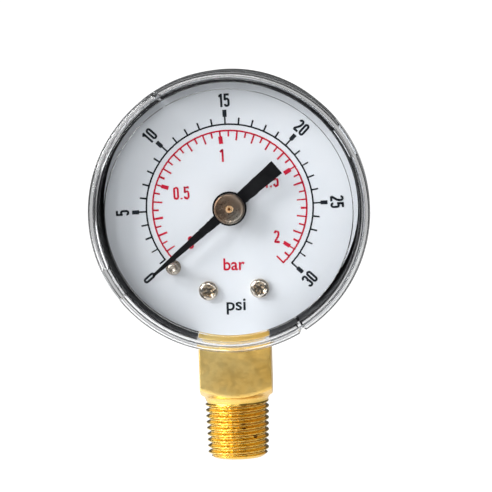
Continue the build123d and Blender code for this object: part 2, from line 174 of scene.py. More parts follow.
def slabs(strips, place, height):
    # each strip is (left, right), two rows of points in the dial plane
    # the strip at the dial and its copy at height, joined along sides and ends, make one closed slab
    verts, faces = [], []
    for left, right in strips:
        n, base = len(left), sum(len(v) for v in verts)
        flat = np.vstack([left, right])
        verts.append(np.vstack([place(flat, 0.0), place(flat, height)]))
        i = np.arange(n - 1)
        lo, hi = base, base + 2 * n
        quads = [np.stack([hi + i, hi + i + 1, hi + n + i + 1, hi + n + i], 1),
                 np.stack([lo + i + 1, lo + i, lo + n + i, lo + n + i + 1], 1),
                 np.stack([lo + i, lo + i + 1, hi + i + 1, hi + i], 1),
                 np.stack([lo + n + i + 1, lo + n + i, hi + n + i, hi + n + i + 1], 1)]
        ends = np.array([[lo, hi, hi + n, lo + n], [lo + n - 1, lo + 2 * n - 1, hi + 2 * n - 1, hi + n - 1]])
        faces.append(np.vstack(quads + [ends]))
    return np.vstack(verts), np.vstack(faces)


def newGroup(name, inputs, output):
    # a node group with named inputs and one output, and the two nodes that stand for them inside it
    g = bpy.data.node_groups.new(name, "ShaderNodeTree")
    for label, kind, value in inputs:
        s = g.interface.new_socket(label, in_out="INPUT", socket_type=kind)
        if value is not None:
            s.default_value = value
    g.interface.new_socket(output, in_out="OUTPUT", socket_type="NodeSocketFloat")
    return g, g.nodes.new("NodeGroupInput"), g.nodes.new("NodeGroupOutput")


def node(tree, kind, **values):
    # a new node; each value sets the property of that name, or else the input
    n = tree.nodes.new(kind)
    for key, value in values.items():
        if hasattr(n, key):
            setattr(n, key, value)
        else:
            n.inputs[key.replace("_", " ")].default_value = value
    return n


def makeMottle():
    # soft cloudy value: noise pushed between Low and High
    g, gi, go = newGroup("mottle", [("Vector", "NodeSocketVector", None), ("Scale", "NodeSocketFloat", 400.0),
                                    ("Low", "NodeSocketFloat", 0.35), ("High", "NodeSocketFloat", 0.65)],
                         "Value")
    noise = node(g, "ShaderNodeTexNoise", Detail=5.0, Roughness=0.62)
    spread = node(g, "ShaderNodeMapRange", interpolation_type="SMOOTHSTEP")
    g.links.new(gi.outputs["Vector"], noise.inputs["Vector"])
    g.links.new(gi.outputs["Scale"], noise.inputs["Scale"])
    g.links.new(noise.outputs["Fac"], spread.inputs["Value"])
    g.links.new(gi.outputs["Low"], spread.inputs["From Min"])
    g.links.new(gi.outputs["High"], spread.inputs["From Max"])
    g.links.new(spread.outputs["Result"], go.inputs["Value"])
    return g


def makeBrush():
    # fine parallel scratches: noise squeezed by Stretch, so it runs along the small axis of Stretch
    g, gi, go = newGroup("brushLines", [("Vector", "NodeSocketVector", None),
                                        ("Stretch", "NodeSocketVector", (9000.0, 9000.0, 400.0))], "Height")
    mul = node(g, "ShaderNodeVectorMath", operation="MULTIPLY")
    noise = node(g, "ShaderNodeTexNoise", Scale=1.0, Detail=3.0, Roughness=0.7)
    g.links.new(gi.outputs["Vector"], mul.inputs[0])
    g.links.new(gi.outputs["Stretch"], mul.inputs[1])
    g.links.new(mul.outputs["Vector"], noise.inputs["Vector"])
    g.links.new(noise.outputs["Fac"], go.inputs["Height"])
    return g


def makeFlecks():
    # small scattered spots, kept only where a second noise is high
    g, gi, go = newGroup("flecks", [("Vector", "NodeSocketVector", None), ("Scale", "NodeSocketFloat", 900.0),
                                    ("Size", "NodeSocketFloat", 0.16), ("Rarity", "NodeSocketFloat", 0.62)],
                         "Mask")
    cells = node(g, "ShaderNodeTexVoronoi")
    near = node(g, "ShaderNodeMath", operation="LESS_THAN")
    where = node(g, "ShaderNodeTexNoise", Detail=2.0)
    third = node(g, "ShaderNodeMath", operation="MULTIPLY")
    third.inputs[1].default_value = 0.31  # the second noise is about three times as coarse
    keep = node(g, "ShaderNodeMath", operation="GREATER_THAN")
    both = node(g, "ShaderNodeMath", operation="MULTIPLY")
    g.links.new(gi.outputs["Vector"], cells.inputs["Vector"])
    g.links.new(gi.outputs["Scale"], cells.inputs["Scale"])
    g.links.new(cells.outputs["Distance"], near.inputs[0])
    g.links.new(gi.outputs["Size"], near.inputs[1])
    g.links.new(gi.outputs["Vector"], where.inputs["Vector"])
    g.links.new(gi.outputs["Scale"], third.inputs[0])
    g.links.new(third.outputs[0], where.inputs["Scale"])
    g.links.new(where.outputs["Fac"], keep.inputs[0])
    g.links.new(gi.outputs["Rarity"], keep.inputs[1])
    g.links.new(near.outputs[0], both.inputs[0])
    g.links.new(keep.outputs[0], both.inputs[1])
    g.links.new(both.outputs[0], go.inputs["Mask"])
    return g


def makeAxisDistance():
    # distance from an axis along Y through Centre, between Near (0) and Far (1)
    g, gi, go = newGroup("axisDistance", [("Vector", "NodeSocketVector", None),
                                          ("Centre", "NodeSocketVector", (0, 0, 0)),
                                          ("Near", "NodeSocketFloat", 0.0),
                                          ("Far", "NodeSocketFloat", 0.001)], "Share")
    offset = node(g, "ShaderNodeVectorMath", operation="SUBTRACT")
    flat = node(g, "ShaderNodeVectorMath", operation="MULTIPLY")
    flat.inputs[1].default_value = (1, 0, 1)
    size = node(g, "ShaderNodeVectorMath", operation="LENGTH")
    spread = node(g, "ShaderNodeMapRange")
    g.links.new(gi.outputs["Vector"], offset.inputs[0])
    g.links.new(gi.outputs["Centre"], offset.inputs[1])
    g.links.new(offset.outputs["Vector"], flat.inputs[0])
    g.links.new(flat.outputs["Vector"], size.inputs[0])
    g.links.new(size.outputs["Value"], spread.inputs["Value"])
    g.links.new(gi.outputs["Near"], spread.inputs["From Min"])
    g.links.new(gi.outputs["Far"], spread.inputs["From Max"])
    g.links.new(spread.outputs["Result"], go.inputs["Share"])
    return g


mottleGroup, brushGroup, flecksGroup, axisGroup = makeMottle(), makeBrush(), makeFlecks(), makeAxisDistance()


class Finish:
    # a material being wired: coordinates, groups, mixes and the one Principled shader
    def __init__(self, name):
        self.material = bpy.data.materials.new(name)
        self.material.use_nodes = True
        self.tree = self.material.node_tree
        self.shader = self.tree.nodes["Principled BSDF"]
        self.coords = self.tree.nodes.new("ShaderNodeTexCoord")

    def link(self, a, b):
        self.tree.links.new(a, b)

    def group(self, tree, **values):
        n = self.tree.nodes.new("ShaderNodeGroup")
        n.node_tree = tree
        for key, value in values.items():
            n.inputs[key].default_value = value
        self.link(self.coords.outputs["Object"], n.inputs["Vector"])
        return n.outputs[0]

    def placeShare(self, axis, low, high):
        # 0 below low and 1 above high, measured along an axis of the part
        split = node(self.tree, "ShaderNodeSeparateXYZ")
        share = node(self.tree, "ShaderNodeMapRange")
        share.inputs["From Min"].default_value, share.inputs["From Max"].default_value = low, high
        self.link(self.coords.outputs["Object"], split.inputs[0])
        self.link(split.outputs[axis], share.inputs["Value"])
        return share.outputs["Result"]

    def mix(self, fac, a, b):
        n = self.tree.nodes.new("ShaderNodeMix")
        n.data_type = "RGBA"
        self.link(fac, n.inputs[0])
        for socket, value in ((n.inputs[6], a), (n.inputs[7], b)):
            if isinstance(value, tuple):
                socket.default_value = (*value, 1)
            else:
                self.link(value, socket)
        return n.outputs[2]

    def ramp(self, value, low, high):
        n = node(self.tree, "ShaderNodeMapRange")
        n.inputs["To Min"].default_value, n.inputs["To Max"].default_value = low, high
        self.link(value, n.inputs["Value"])
        return n.outputs["Result"]

    def maths(self, operation, *values):
        # one maths node; each value is a socket to link or a plain number
        n = node(self.tree, "ShaderNodeMath", operation=operation)
        for socket, value in zip(n.inputs, values):
            if isinstance(value, bpy.types.NodeSocket):
                self.link(value, socket)
            else:
                socket.default_value = value
        return n.outputs[0]

    def scaled(self, value, by):
        return self.maths("MULTIPLY", value, by)

    def added(self, a, b):
        return self.maths("ADD", a, b)

    def difference(self, a, b):
        return self.maths("SUBTRACT", a, b)

    def wave(self, value, turns):
        # smooth ridges: the sine of the value times turns
        return self.maths("SINE", self.scaled(value, turns))

    def bump(self, height, strength, distance):
        n = node(self.tree, "ShaderNodeBump")
        n.inputs["Strength"].default_value, n.inputs["Distance"].default_value = strength, distance
        self.link(height, n.inputs["Height"])
        self.link(n.outputs["Normal"], self.shader.inputs["Normal"])

    def put(self, **values):
        for key, value in values.items():
            socket = self.shader.inputs[key.replace("_", " ")]
            if isinstance(value, bpy.types.NodeSocket):
                self.link(value, socket)
            else:
                socket.default_value = (*value, 1) if isinstance(value, tuple) else value


tone = {
    "brassPale": (0.98, 0.78, 0.33), "brassTan": (0.88, 0.53, 0.11), "brassGold": (0.96, 0.70, 0.18),
    "brassDeep": (0.66, 0.34, 0.05), "brassDark": (0.15, 0.06, 0.015), "bronze": (0.66, 0.33, 0.13),
    "nickel": (0.66, 0.60, 0.52), "nickelWarm": (0.42, 0.35, 0.28), "hubPale": (0.26, 0.235, 0.20),
    "hubBrown": (0.22, 0.125, 0.07), "steel": (0.50, 0.50, 0.51), "steelDark": (0.38, 0.38, 0.39),
    "black": (0.006, 0.006, 0.007), "blackWorn": (0.011, 0.011, 0.012), "dust": (0.20, 0.19, 0.18),
    "dialWhite": (0.78, 0.815, 0.86), "dialShade": (0.80, 0.83, 0.87), "inkBlack": (0.006, 0.010, 0.016),
    "inkRed": (0.56, 0.008, 0.035),
}


def socketFinish(name, split):
    # satin tan brass on the square shank, deeper gold on the cut thread below split, with a few dark nicks; both
    # are painted paler on the -X side and darker towards +X, as shade
    f = Finish(name)
    clouds = f.group(mottleGroup, Scale=240.0, Low=0.3, High=0.72)
    fine = f.group(mottleGroup, Scale=1400.0, Low=0.35, High=0.7)
    nicks = f.group(flecksGroup, Scale=330.0, Size=0.17, Rarity=0.585)
    # painted shade: a ramp along X that leaves the -X side pale and makes the +X side darker
    sideShade = f.placeShare("X", -0.0050, 0.0055)
    lines = f.group(brushGroup, Stretch=(1500.0, 1500.0, 160.0))
    upper = f.placeShare("Z", split - 0.0006, split + 0.0004)
    # the tone is part random clouds and part painted side shade
    stainAndSideShade = f.added(f.scaled(clouds, 0.4), f.scaled(sideShade, 0.6))
    shank = f.mix(stainAndSideShade, tone["brassPale"], tone["brassTan"])
    shank = f.mix(f.scaled(lines, 0.35), shank, tone["brassTan"])
    thread = f.mix(f.scaled(stainAndSideShade, 0.8), tone["brassGold"], tone["brassDeep"])
    base = f.mix(upper, thread, shank)
    base = f.mix(f.scaled(fine, 0.12), base, tone["brassDeep"])
    base = f.mix(f.scaled(nicks, 0.8), base, tone["brassDark"])
    rough = f.added(f.ramp(upper, 0.13, 0.30), f.scaled(f.added(fine, lines), 0.06))
    f.put(Base_Color=base, Metallic=1.0, Roughness=rough)
    f.bump(f.added(f.scaled(f.scaled(lines, upper), 0.8), f.scaled(nicks, -1.6)), 0.10, 0.00002)
    return f.material


def brassFinish(name, a, b, rough, stretch):
    # two tones in clouds, with brush lines in the roughness and the height
    f = Finish(name)
    clouds = f.group(mottleGroup, Scale=260.0, Low=0.3, High=0.72)
    lines = f.group(brushGroup, Stretch=stretch)
    base = f.mix(clouds, a, b)
    f.put(Base_Color=base, Metallic=1.0, Roughness=f.ramp(lines, rough - 0.05, rough + 0.08))
    f.bump(lines, 0.2, 0.00002)
    return f.material


def turnedFinish(name, a, b, rough, centre, reach, grooves):
    # lathe-turned metal: faint ridges round the axis, cloudy stains, fine wear
    # half of the tone is painted shade: the cap is browner and darker towards -X
    f = Finish(name)
    share = f.group(axisGroup, Centre=centre, Near=0.0, Far=reach)
    clouds = f.group(mottleGroup, Scale=330.0, Low=0.34, High=0.66)
    fine = f.group(mottleGroup, Scale=5200.0, Low=0.35, High=0.7)
    ridges = f.wave(share, grooves)
    # painted shade: half of this mix is a ramp along X, darker and browner towards -X
    stainAndSideShade = f.added(f.scaled(clouds, 0.5), f.scaled(f.placeShare("X", reach * 0.4, -reach * 0.6), 0.5))
    f.put(Base_Color=f.mix(stainAndSideShade, a, b), Metallic=1.0,
          Roughness=f.added(f.ramp(fine, rough - 0.04, rough + 0.10), f.scaled(clouds, 0.05)))
    f.bump(f.added(ridges, f.scaled(fine, 0.4)), 0.08, 0.00001)
    return f.material


def arborFinish(name, centre):
    # brass end of the arbor: bright ring round a punched centre painted dark as shade in its hollow
    f = Finish(name)
    # painted shade: the punched hollow in the middle gets a dark colour
    pitShade = f.group(axisGroup, Centre=centre, Near=0.00016, Far=0.00030)
    fine = f.group(mottleGroup, Scale=3800.0, Low=0.35, High=0.7)
    bright = f.mix(fine, (0.70, 0.50, 0.30), tone["bronze"])
    f.put(Base_Color=f.mix(pitShade, tone["brassDark"], bright), Metallic=1.0, Roughness=f.ramp(fine, 0.25, 0.4))
    f.bump(f.added(f.scaled(pitShade, 2.5), fine), 0.5, 0.0001)
    return f.material


def plainMetal(name, a, b, rough):
    # two tones in clouds, with a fine grain in the roughness and the height
    f = Finish(name)
    clouds = f.group(mottleGroup, Scale=900.0, Low=0.3, High=0.7)
    fine = f.group(mottleGroup, Scale=5200.0, Low=0.3, High=0.7)
    f.put(Base_Color=f.mix(clouds, a, b), Metallic=1.0, Roughness=f.ramp(fine, rough - 0.05, rough + 0.08))
    f.bump(fine, 0.15, 0.00001)
    return f.material


def paintFinish(name, a, b, rough, specular=0.3, dust=0.1, peelScale=2600.0):
    # two close tones in clouds, specks of dust, and a fine uneven skin
    f = Finish(name)
    peel = f.group(mottleGroup, Scale=peelScale, Low=0.2, High=0.8)
    clouds = f.group(mottleGroup, Scale=300.0, Low=0.3, High=0.7)
    specks = f.group(flecksGroup, Scale=1300.0, Size=0.12, Rarity=0.64)
    base = f.mix(clouds, a, b)
    base = f.mix(f.scaled(specks, dust), base, tone["dust"])
    f.put(Base_Color=base, Roughness=f.ramp(peel, rough - 0.05, rough + 0.08), Specular_IOR_Level=specular)
    f.bump(peel, 0.08, 0.00001)
    return f.material


# radii and depths of the painted dark reflection rings in the lens rim; dark is their painted colour
lensDarkReflectionBands = {"inner": (0.01987, 0.01994, 0.02010, 0.02018), "outer": (0.02076, 0.02092),
             "depth": (0.0022, 0.0014), "clear": (0.96, 0.97, 0.98), "dark": (0.03, 0.03, 0.035)}


def clearFinish(name, axis, front, s):
    # clear plastic that bends what is seen through it, and lets the lamps through to the dial
    # two thin rings of its thick rim are painted darker, a painted reflection standing in for the black case seen
    # bent in the rim: they fade in and out over the radii in lensDarkReflectionBands
    f = Finish(name)
    smudge = f.group(mottleGroup, Scale=180.0, Low=0.45, High=0.8)
    rise, full, fall, gone = s["inner"]
    inner = f.difference(f.group(axisGroup, Centre=axis, Near=rise, Far=full),
                         f.group(axisGroup, Centre=axis, Near=fall, Far=gone))
    outer = f.group(axisGroup, Centre=axis, Near=s["outer"][0], Far=s["outer"][1])
    # painted reflection: the rings darken the base colour wherever they lie, whatever the light
    rings = f.added(f.scaled(inner, 0.9), f.scaled(outer, 0.8))
    dark = f.scaled(rings, f.placeShare("Y", front + s["depth"][0], front + s["depth"][1]))
    f.put(Base_Color=f.mix(dark, s["clear"], s["dark"]), Roughness=f.ramp(smudge, 0.0, 0.02), IOR=1.58,
          Transmission_Weight=1.0, Metallic=0.0)
    tree = f.tree
    path = node(tree, "ShaderNodeLightPath")
    either = node(tree, "ShaderNodeMath", operation="MAXIMUM")
    clear = node(tree, "ShaderNodeBsdfTransparent")
    mixer = node(tree, "ShaderNodeMixShader")
    f.link(path.outputs["Is Shadow Ray"], either.inputs[0])
    f.link(path.outputs["Is Diffuse Ray"], either.inputs[1])
    f.link(either.outputs[0], mixer.inputs[0])
    f.link(f.shader.outputs[0], mixer.inputs[1])
    f.link(clear.outputs[0], mixer.inputs[2])
    f.link(mixer.outputs[0], tree.nodes["Material Output"].inputs["Surface"])
    return f.material


axisPoint = (0.0, 0.0, pivotZ)
finishes = {
    "socket": socketFinish("satinBrass", 0.0050),
    "brass": brassFinish("plateBrass", tone["brassPale"], tone["brassTan"], 0.28, (7000.0, 600.0, 600.0)),
    "bronze": plainMetal("springBronze", tone["bronze"], (0.50, 0.24, 0.09), 0.28),
    "nickel": plainMetal("nickelPlate", (0.80, 0.75, 0.68), (0.62, 0.52, 0.40), 0.13),
    "stop": plainMetal("stopNickel", tone["nickel"], tone["nickelWarm"], 0.26),
    "hub": turnedFinish("turnedNickel", tone["hubPale"], tone["hubBrown"], 0.27, axisPoint, 0.0026, 90.0),
    "arbor": arborFinish("arborBrass", axisPoint),
    "steel": plainMetal("turnedSteel", tone["steel"], tone["steelDark"], 0.30),
    "case": paintFinish("blackPaint", tone["black"], tone["blackWorn"], 0.42, 0.05),
    "dial": paintFinish("dialEnamel", tone["dialWhite"], tone["dialShade"], 0.45, 0.4, 0.06, 1800.0),
    "pointer": paintFinish("pointerBlack", tone["black"], tone["blackWorn"], 0.48, 0.02, 0.012, 6000.0),
    "inkBlack": paintFinish("blackInk", tone["inkBlack"], (0.010, 0.014, 0.020), 0.5, 0.2, 0.0, 5000.0),
    "inkRed": paintFinish("redInk", tone["inkRed"], (0.62, 0.012, 0.045), 0.5, 0.2, 0.0, 5000.0),
    "lens": clearFinish("clearPlastic", (0.0, 0.0, rimZ), float(lensLow[1]), lensDarkReflectionBands),
}
print("finishes made:", len(finishes))

slotFinish = {"case_black": "case", "clear_plastic": "lens", "brass": "brass", "bronze": "bronze",
              "dial_white": "dial", "pointer_black": "pointer", "nickel": "nickel", "steel": "steel"}
nodeSlot = {s["node"]: s["material_slot"] for s in frame["record"]["subparts"]}
for nodeName, obj in frame["nodes"].items():
    obj.data.materials.clear()
    obj.data.materials.append(finishes[slotFinish[nodeSlot[nodeName]]])
frame["nodes"]["pinion_arbor"].data.materials[0] = finishes["arbor"]


socketSet = {"major": 4.71, "depth": 0.58, "pitch": 0.907, "taper": 32, "neck": 4.74, "end": -4.0,
             "shankBottom": 5.42, "half": 5.45, "corner": 0.16, "bore": 1.3, "boreTop": 18.0,
             "crestFlat": 0.14, "flank": 0.72, "crestRound": 0.35, "runoutFrom": 1.2, "runoutLong": 0.65,
             "flareTall": 0.8, "flareOut": 0.36, "leadTall": 1.15, "leadIn": 0.95,
             "faceIn": 0.28, "faceRise": 0.60, "rowStep": 0.036, "columns": 176, "cornerColumns": 8}


def squareReach(phi, half, corner):
    # distance from the axis to a square with rounded corners, in each direction: half over the cosine of the
    # angle from the nearest side's middle, and near a corner the far crossing with the corner's circle
    a = np.abs((phi + np.pi / 4) % (np.pi / 2) - np.pi / 4)
    flat = half / np.cos(a)
    inner = half - corner
    d = inner * (np.cos(a) + np.sin(a))
    rounded = d + np.sqrt(np.maximum(d * d - (2 * inner ** 2 - corner ** 2), 0))
    return np.where(flat * np.sin(a) <= inner, flat, rounded)


def buildSocket(s):
    # rings about the stem's axis: x is r cos phi, y is r sin phi, and r is a function of angle and height
    # columns crowd at the four corners, where the square turns
    sides = np.linspace(-43.2, 43.2, s["columns"] // 4 - s["cornerColumns"])
    quarter = np.concatenate([sides, 45 + np.linspace(-1.5, 1.5, s["cornerColumns"])])
    phi = np.radians(np.concatenate([quarter + 90 * k for k in range(4)]))
    z = np.arange(s["end"], s["shankBottom"] + 1e-6, s["rowStep"])[:, None]
    # right-hand thread: the depth follows the distance to the nearest crest, measured along the helix
    phase = (z / s["pitch"] - phi[None, :] / (2 * np.pi)) % 1.0
    wave = np.clip((np.abs(2 * phase - 1) - s["crestFlat"]) / s["flank"], 0, 1)
    wave = wave * wave * (3 - 2 * wave) * s["crestRound"] + wave * (1 - s["crestRound"])
    crest = s["major"] + z / s["taper"]
    # above the thread the radius runs out to the plain neck, and then flares into the shank
    runout = np.clip((z - (s["shankBottom"] - s["runoutFrom"])) / s["runoutLong"], 0, 1)
    radius = crest - s["depth"] * (1 - wave) * (1 - runout)
    radius = radius * (1 - runout) + s["neck"] * runout
    flare = np.clip((z - (s["shankBottom"] - s["flareTall"])) / s["flareTall"], 0, 1)
    radius = radius + s["flareOut"] * flare ** 2
    # the stem's end is rounded by a quarter of a sine
    lead = np.clip((z - s["end"]) / s["leadTall"], 0, 1)
    cone = s["major"] - s["leadIn"] + s["leadIn"] * np.sin(lead * np.pi / 2) ** 0.9
    radius = np.where(lead < 1, np.minimum(radius, cone), radius)

    def ring(r, h):
        return np.broadcast_to(r, phi.shape), np.broadcast_to(h, phi.shape)

    square = squareReach(phi, s["half"], s["corner"])
    top = socketTop / mm
    bottomR = s["half"] - s["faceIn"]
    edge = s["shankBottom"] + (square - bottomR) * s["faceRise"]  # cone that cuts the square's lower end
    rings = [ring(0.001, s["boreTop"]), ring(s["bore"], s["boreTop"]), ring(s["bore"], s["end"] + 0.2),
             ring(s["bore"] + 0.06, s["end"] + 0.05), ring(s["bore"] + 0.2, s["end"])]
    rings += [(radius[k], np.full(phi.shape, z[k, 0])) for k in range(len(z))]
    rings += [ring(bottomR - 0.02, s["shankBottom"]), ring(bottomR + 0.04, s["shankBottom"] + 0.02),
              ring(square - 0.10, edge - 0.035), ring(square - 0.03, edge + 0.01), ring(square, edge + 0.09),
              ring(square, edge + 0.6), ring(square, top - 0.3), ring(square - 0.08, top - 0.05),
              ring(square - 0.25, top), ring(0.001, top)]
    r = np.array([a for a, _ in rings]) * mm
    h = np.array([b for _, b in rings]) * mm
    grid = np.stack([r * np.cos(phi), r * np.sin(phi), h], -1)
    piece = addPiece("brassSocket", *capped(grid), finishes["socket"], "case", 30)
    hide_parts("socket")


buildSocket(socketSet)
print("socket built")

lensSet = {"columns": 480, "thick": 1.5, "step": 0.15, "shoulder": 1.1, "fillet": 0.9, "skirt": 0.8,
           "lipIn": 2.5, "roundSmall": 0.3, "roundLarge": 0.62, "roundSteps": 12, "groove": 0.22,
           "notchReach": 1.22, "notchBack": 1.3, "wideNotch": (30, 210), "wideHalf": 6.9, "wideDeep": 1.2,
           "wideSpan": 0.32, "narrowNotch": (120, 300), "narrowHalf": 1.15, "narrowIn": 0.8}


def buildLens(s):
    # a closed profile (radius, y) carried round the axis: x is r cos a, z is the rim's height plus r sin a
    # window first, the lip in front of it, two rounded steps, the skirt with its groove, and back inside
    rimR, front, back = rimRadius / mm, lensLow[1] / mm, lensHigh[1] / mm
    face, seat = front + s["step"], front + s["step"] + s["thick"]
    skirt, edge = rimR - s["skirt"], seat + s["fillet"]
    lip, small, large = rimR - s["lipIn"], s["roundSmall"], s["roundLarge"]
    t = np.linspace(0, np.pi / 2, s["roundSteps"])
    ring = [(0.001, face), (lip - 0.7, face), (lip - 0.16, face), (lip - 0.1, face - 0.01),
            (lip - 0.05, face - 0.06), (lip, front + 0.02), (lip + 0.08, front), (lip + 0.9, front),
            (lip + 1.25, front)]
    ring += [(rimR - 0.85 - small * (1 - np.sin(a)), front + small * (1 - np.cos(a))) for a in t]
    ring += [(rimR - 0.84, front + 0.36), (rimR - 0.78, front + 0.42), (rimR - 0.70, front + 0.44)]
    ring += [(rimR - large * (1 - np.sin(a)), front + 0.44 + large * (1 - np.cos(a))) for a in t]
    ring += [(rimR, front + s["shoulder"] + 0.1), (rimR, back - 0.16), (rimR - 0.02, back - 0.05),
             (rimR - 0.08, back), (skirt + 0.17, back), (skirt + 0.1, back - 0.06), (skirt, back - 0.7),
             (skirt + s["groove"], back - 1.1), (skirt + s["groove"], back - 1.8), (skirt, back - 2.1),
             (skirt, back - 2.3), (skirt, edge + 0.15)]
    ring += [(skirt - s["fillet"] * (1 - np.cos(a)), edge - s["fillet"] * np.sin(a)) for a in t]
    inner = skirt - s["fillet"]
    ring += [(inner - 0.12, seat), (inner - 0.5, seat), (rimR - 4.0, seat), (0.001, seat)]
    p = np.array(ring)
    a = np.linspace(0, 2 * np.pi, s["columns"], endpoint=False)
    r = np.repeat(p[:, :1], len(a), 1)
    y = np.repeat(p[:, 1:2], len(a), 1)
    frontRows = (y < front + s["notchBack"]) & (r > rimR - s["notchReach"])
    # in a wide notch the front falls back by the square of the share of its span
    for angle in s["wideNotch"]:
        off = (np.degrees(a) - angle + 180) % 360 - 180
        inside = (np.abs(off) < s["wideHalf"])[None, :] & frontRows
        share = np.clip((r - rimR + s["wideSpan"]) / s["wideSpan"], 0, 1)
        y = np.where(inside, front + 0.06 + s["wideDeep"] * share ** 2, y)
    # a narrow notch is a slit in the rim's edge
    for angle in s["narrowNotch"]:
        off = (np.degrees(a) - angle + 180) % 360 - 180
        inside = (np.abs(off) < s["narrowHalf"])[None, :] & frontRows
        r = np.where(inside, np.minimum(r, rimR - s["narrowIn"]), r)
    grid = np.stack([r * np.cos(a) * mm, y * mm, rimZ + r * np.sin(a) * mm], -1)
    piece = addPiece("clearLens", *capped(grid), finishes["lens"], "case", 30)
    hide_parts("lens")


buildLens(lensSet)
print("lens built")


screwSet = {"reach": 12.95, "turn": 1.3, "half": 17.3, "head": 1.47, "tall": 0.9, "round": 0.5, "shank": 0.75,
            "columns": 144, "slot": 0.40, "long": 1.02, "deep": 0.55, "sideSlope": 0.2, "endSlope": 0.35,
            "rowStep": 0.035, "spin": (38, 60)}


def crossSink(s, spin):
    # depth of the recess: full in two crossed bars, sloping off towards their sides and ends
    def sink(r, a, y):
        u, v = np.abs(r * np.cos(a - radians(spin))), np.abs(r * np.sin(a - radians(spin)))
        near, far = np.minimum(u, v), np.maximum(u, v)
        side = np.clip((s["slot"] - near) / s["sideSlope"], 0, 1)
        end = np.clip((s["long"] - far) / s["endSlope"], 0, 1)
        front = y < faceY / mm - s["tall"] + 0.22
        return np.where(front, s["deep"] * side * end, 0.0)
    return sink


def buildScrews(s):
    # turned heads on short shanks, either side of the dial's foot
    verts, faces, base = [], [], 0
    back, face = screwBack / mm, faceY / mm
    front = face - s["tall"]
    for side, spin in zip((-1, 1), s["spin"]):
        a = radians(270 + s["turn"] + side * s["half"])
        x, z = s["reach"] * np.cos(a), pivotZ / mm + s["reach"] * np.sin(a)
        profile = [(0.001, back), (s["shank"] - 0.1, back), (s["shank"], back - 0.1), (s["shank"], face)]
        profile += [(s["head"] - 0.05, face)] + quarterTurn(s["head"], front, s["round"])
        flat = np.arange(s["head"] - s["round"] - 0.04, 0.02, -s["rowStep"])
        profile += [(r, front) for r in flat]
        v, f = capped(turnedY(profile, s["columns"], x, z, crossSink(s, spin)), base)
        verts.append(v)
        faces += f
        base += len(v)
    piece = addPiece("crossScrews", np.vstack(verts), faces, finishes["nickel"], "case", 28)
    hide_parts("dial_screws")


buildScrews(screwSet)

stopSet = {"shank": 0.4, "flange": 1.15, "flangeTall": 0.4, "flangeRound": 0.12, "post": 0.8,
           "postRound": 0.24, "dimple": 0.42, "dimpleDeep": 0.22, "columns": 96}


def buildStopPin(s):
    # shoulder against the dial, a rounded post, and a shallow punched dimple in its end
    x, z = (stopLow[0] + stopHigh[0]) / 2 / mm, (stopLow[2] + stopHigh[2]) / 2 / mm
    back, face, front = stopHigh[1] / mm, faceY / mm, stopLow[1] / mm
    top = face - s["flangeTall"]
    profile = [(0.001, back), (s["shank"], back), (s["shank"], face), (s["flange"] - 0.05, face)]
    profile += quarterTurn(s["flange"], top, s["flangeRound"], 4)
    profile += [(s["post"] + 0.06, top), (s["post"], top - 0.06)]
    profile += quarterTurn(s["post"], front, s["postRound"], 5)
    profile += [(s["dimple"], front), (s["dimple"] - 0.08, front + 0.02), (0.2, front + 0.14),
                (0.1, front + 0.2), (0.001, front + s["dimpleDeep"])]
    piece = addPiece("stopPost", *capped(turnedY(profile, s["columns"], x, z)), finishes["stop"], "case", 28)
    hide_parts("stop_pin")


buildStopPin(stopSet)

hubSet = {"hole": 0.60, "round": 0.22, "roundSteps": 6, "stepFrom": 0.34, "stepDeep": 0.04, "middle": 1.2,
          "columns": 160}


def buildHub(s):
    # a cap with a rounded rim, a shallow turned step and a hole for the arbor's end
    # its profile is a loop, so the last ring joins the first
    back, front, radius = hubHigh[1] / mm, hubLow[1] / mm, (hubHigh[0] - hubLow[0]) / 2 / mm
    hole, step = s["hole"], radius - s["stepFrom"]
    outer = [(hole, back), (radius - 0.02, back), (radius, back - 0.03)]
    outer += quarterTurn(radius, front, s["round"], s["roundSteps"])
    outer += [(step, front), (step - 0.06, front + s["stepDeep"] / 2), (step - 0.12, front + s["stepDeep"]),
              (s["middle"], front + 0.03), (s["middle"] - 0.4, front + 0.02), (hole + 0.06, front + 0.01),
              (hole, front + 0.06), (hole, (front + back) / 2)]
    ring = turnedY(outer, s["columns"], 0.0, pivotZ / mm)
    rows, cols = ring.shape[:2]
    c, last = np.arange(cols), (rows - 1) * cols
    c2 = (c + 1) % cols
    faces = np.vstack([gridFaces(rows, cols), np.stack([last + c, last + c2, c2, c], 1)])
    piece = addPiece("hubCap", ring.reshape(-1, 3), faces, finishes["hub"], "pointer", 28)
    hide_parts("pointer_hub")


buildHub(hubSet)

tubeSet = {"radius": 15.5, "from": 250.0, "to": -27.0, "radial": 0.9, "axial": 3.0, "oval": 0.55, "rows": 140,
           "columns": 40, "bend": (-0.0055, 0.0138)}


def buildTube(s):
    # a flattened tube on an arc about the pointer's axis: each section is an oval, the sine and cosine of q
    # raised to the power oval, which makes its sides flatter than an ellipse
    midY = (tubeLow[1] + tubeHigh[1]) / 2 / mm
    around = np.radians(np.linspace(s["from"], s["to"], s["rows"]))[:, None]
    q = np.linspace(0, 2 * np.pi, s["columns"], endpoint=False)[None, :]
    r = s["radius"] + s["radial"] * np.sign(np.sin(q)) * np.abs(np.sin(q)) ** s["oval"]
    y = midY + s["axial"] * np.sign(np.cos(q)) * np.abs(np.cos(q)) ** s["oval"]
    y = np.repeat(y, s["rows"], 0)
    grid = np.stack([r * np.cos(around), y, pivotZ / mm + r * np.sin(around)], -1) * mm
    piece = addPiece("bourdonTube", *capped(grid), finishes["bronze"], None, 50)
    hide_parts("bourdon_tube")
    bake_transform(piece)


buildTube(tubeSet)
print("fittings built")

